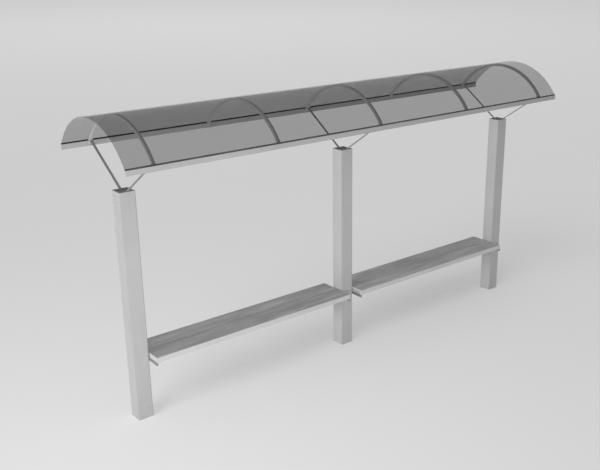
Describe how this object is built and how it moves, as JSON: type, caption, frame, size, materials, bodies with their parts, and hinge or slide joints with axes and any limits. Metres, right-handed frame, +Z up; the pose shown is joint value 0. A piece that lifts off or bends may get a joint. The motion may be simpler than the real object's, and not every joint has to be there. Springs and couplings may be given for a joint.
{
  "type": "open bus shelter",
  "caption": "Open shelter with square posts in a line, a bench in each bay and a barrel-shaped tinted roof on splayed struts.",
  "frame": {"origin": "centre of the underside of the middle post's base, at ground level", "axes": "+X along the shelter, -Y towards the front, +Z up"},
  "size_m": [4.708, 1.072, 2.474],
  "materials": {
    "frame_steel": "light grey satin paint",
    "dark_steel": "mid grey satin paint",
    "bench_steel": "pale grey satin paint",
    "timber": "weathered grey, grain along the boards",
    "tinted_sheet": "grey tinted, clear, glossy",
    "gasket": "matt black"
  },
  "bodies": {
    "root": {"post_left": "frame_steel", "post_middle": "frame_steel", "post_right": "frame_steel", "post_cap_left": "dark_steel", "post_cap_middle": "dark_steel", "post_cap_right": "dark_steel", "strut_front_left": "dark_steel", "strut_front_middle": "dark_steel", "strut_front_right": "dark_steel", "strut_back_left": "dark_steel", "strut_back_middle": "dark_steel", "strut_back_right": "dark_steel", "eave_beam_front": "frame_steel", "eave_beam_back": "frame_steel", "beam_cap_front_left": "frame_steel", "beam_cap_front_right": "frame_steel", "beam_cap_back_left": "frame_steel", "beam_cap_back_right": "frame_steel", "rib_end_left": "frame_steel", "rib_bay_left": "frame_steel", "rib_middle": "frame_steel", "rib_bay_right": "frame_steel", "rib_end_right": "frame_steel", "roof_sheet": "tinted_sheet", "gasket_front": "gasket", "gasket_back": "gasket", "bench_frame_left": "bench_steel", "bench_frame_right": "bench_steel", "board_front_left": "timber", "board_back_left": "timber", "board_front_right": "timber", "board_back_right": "timber", "bracket_left_post": "dark_steel", "bracket_middle_post_left": "dark_steel", "bracket_middle_post_right": "dark_steel", "bracket_right_post": "dark_steel"}
  },
  "joints": []
}
